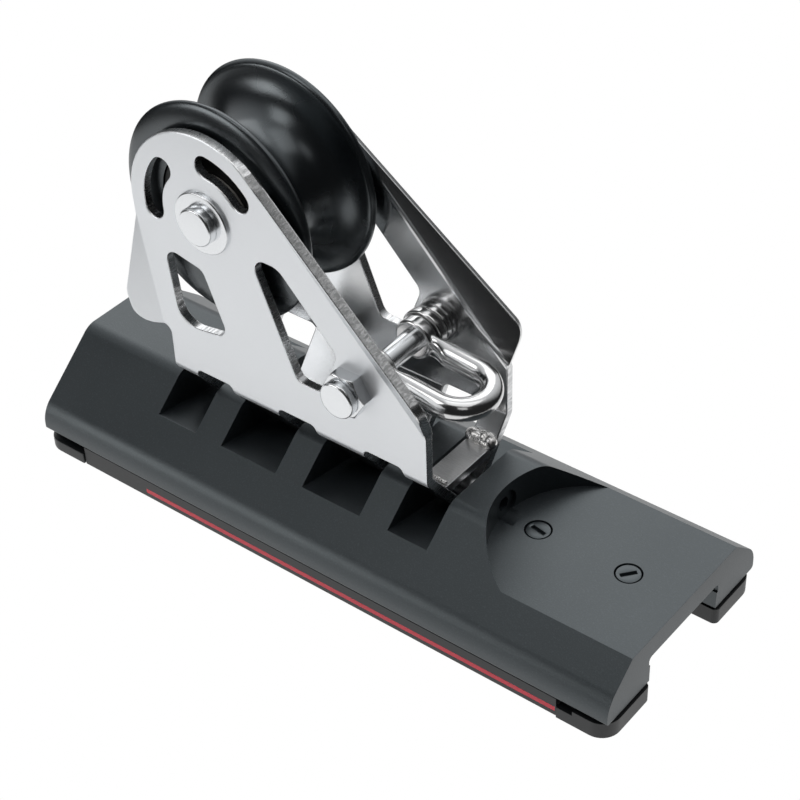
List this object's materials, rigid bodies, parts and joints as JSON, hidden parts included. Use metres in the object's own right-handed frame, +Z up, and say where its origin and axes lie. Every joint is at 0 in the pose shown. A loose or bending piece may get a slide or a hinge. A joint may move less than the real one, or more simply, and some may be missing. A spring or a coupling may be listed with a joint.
{
  "type": "outhaul car",
  "caption": "Ball bearing sail track car with a folded steel tower that holds a grooved sheave and a shackle, and a low deck at one end.",
  "frame": {"origin": "on the foot of the car, under the middle of its overall box", "axes": "+X towards the low deck with the two slotted screws, +Y across the car to the side away from the shackle's nut, +Z up from the track"},
  "size_m": [0.178, 0.064, 0.1114],
  "materials": {
    "anodised": "hard anodised, dark charcoal, satin",
    "black_screw": "blackened, satin",
    "steel": "stainless steel, turned",
    "tower": "stainless sheet, satin outside and polished inside",
    "weld": "stainless weld bead",
    "sheave": "hard anodised, black, glossy",
    "cover": "black acetal",
    "washer": "natural acetal",
    "roller": "dark bearing plastic",
    "shackle": "stainless steel, polished",
    "rail": "black moulded nylon",
    "ball": "white acetal",
    "stripe": "red inlay"
  },
  "bodies": {
    "car": {"car_body": "anodised", "deck_screws": "black_screw", "tower_pin": "steel", "tower_pin_plug": "steel", "tower_frame": "tower", "tie_strip": "tower", "tie_welds": "weld", "sheave_axle": "steel", "axle_washer_near": "steel", "axle_washer_far": "steel", "thrust_washer_near": "washer", "thrust_washer_far": "washer", "bearing_race": "steel", "bearing_rollers": "roller", "shackle_pin": "shackle", "shackle_pin_nut": "steel", "pin_collar_near": "shackle", "pin_collar_far": "shackle", "ball_rail_near": "rail", "ball_rail_far": "rail", "balls_near": "ball", "balls_far": "ball", "pinstripe_near": "stripe", "pinstripe_far": "stripe", "keeper_front_near": "rail", "keeper_front_far": "rail", "keeper_rear_near": "rail", "keeper_rear_far": "rail", "keeper_screws": "steel"},
    "sheave": {"sheave": "sheave", "bearing_cover_near": "cover", "bearing_cover_far": "cover"},
    "shackle": {"shackle_bow": "shackle"}
  },
  "joints": [
    {"name": "sheave_spin", "type": "hinge", "parent": "car", "child": "sheave", "pos_m": [-0.0362, 0, 0.083], "axis": [0, 1, 0], "continuous": true},
    {"name": "shackle_swing", "type": "hinge", "parent": "car", "child": "shackle", "pos_m": [0.0064, 0, 0.0533], "axis": [0, 1, 0], "range_deg": [-111, 44]}
  ]
}
